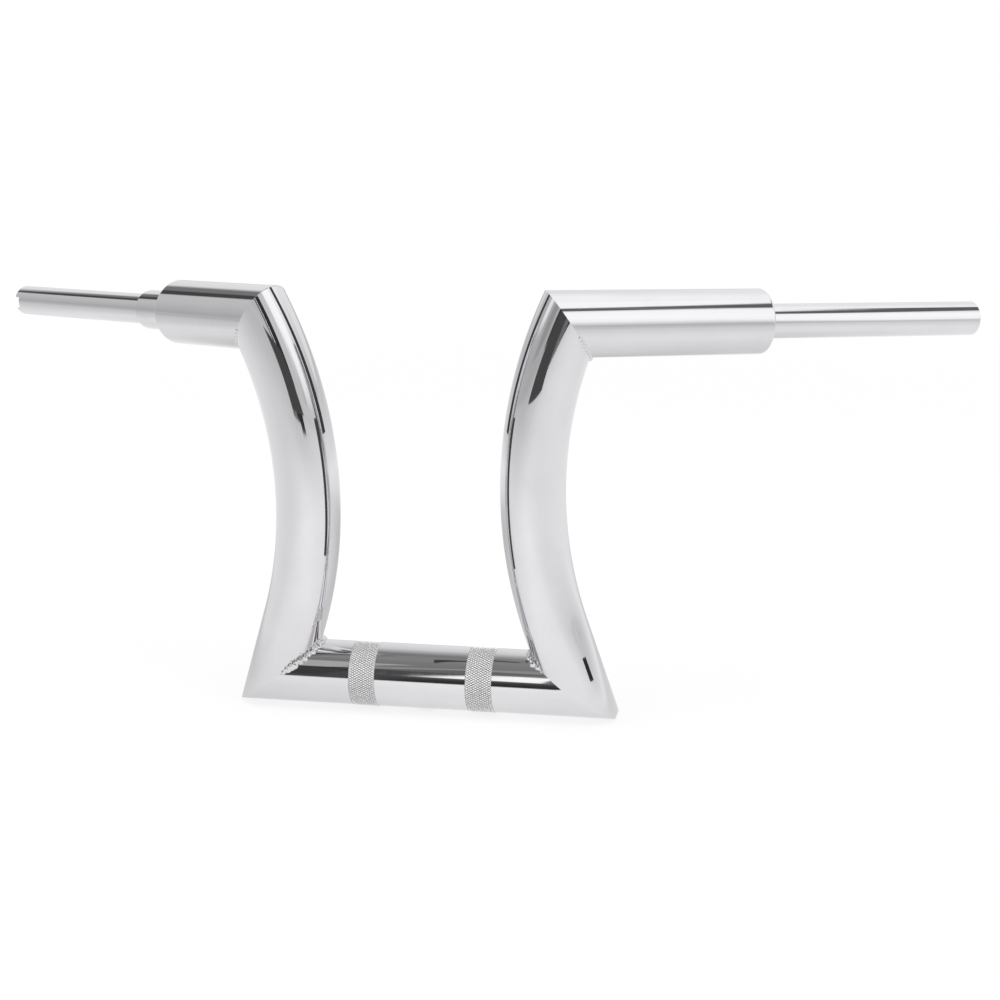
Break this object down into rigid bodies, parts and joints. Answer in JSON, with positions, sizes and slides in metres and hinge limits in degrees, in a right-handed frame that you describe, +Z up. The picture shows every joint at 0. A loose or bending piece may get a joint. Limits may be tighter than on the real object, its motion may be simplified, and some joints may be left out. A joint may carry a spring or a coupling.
{
  "type": "ape hanger handlebar",
  "caption": "High-rise motorbike handlebar of fat mitred tubes with inward-bowed risers, knurled clamp bands, swept-back shoulders and thin grip tubes, all chromed.",
  "frame": {"origin": "the middle of the clamp tube's axis, half way between the two knurled clamp bands", "axes": "+X along the clamp tube towards the clutch side (the rider's left), +Y backwards to the rider, +Z up along the rise"},
  "size_m": [0.7799, 0.2296, 0.3225],
  "materials": {
    "fat_chrome": "polished chrome plate on steel",
    "clamp_chrome": "polished chrome plate with satin knurled bands",
    "grip_chrome": "chrome plate, fine turning lines",
    "weld_bead": "rippled weld bead under chrome plate"
  },
  "bodies": {
    "root": {"clamp_tube": "clamp_chrome", "throttle_riser": "fat_chrome", "clutch_riser": "fat_chrome", "throttle_shoulder": "fat_chrome", "clutch_shoulder": "fat_chrome", "throttle_end_plug": "fat_chrome", "clutch_end_plug": "fat_chrome", "throttle_collar": "grip_chrome", "throttle_grip_tube": "grip_chrome", "clutch_grip_tube": "grip_chrome", "throttle_foot_weld": "weld_bead", "clutch_foot_weld": "weld_bead", "throttle_head_weld": "weld_bead", "clutch_head_weld": "weld_bead"}
  },
  "joints": []
}
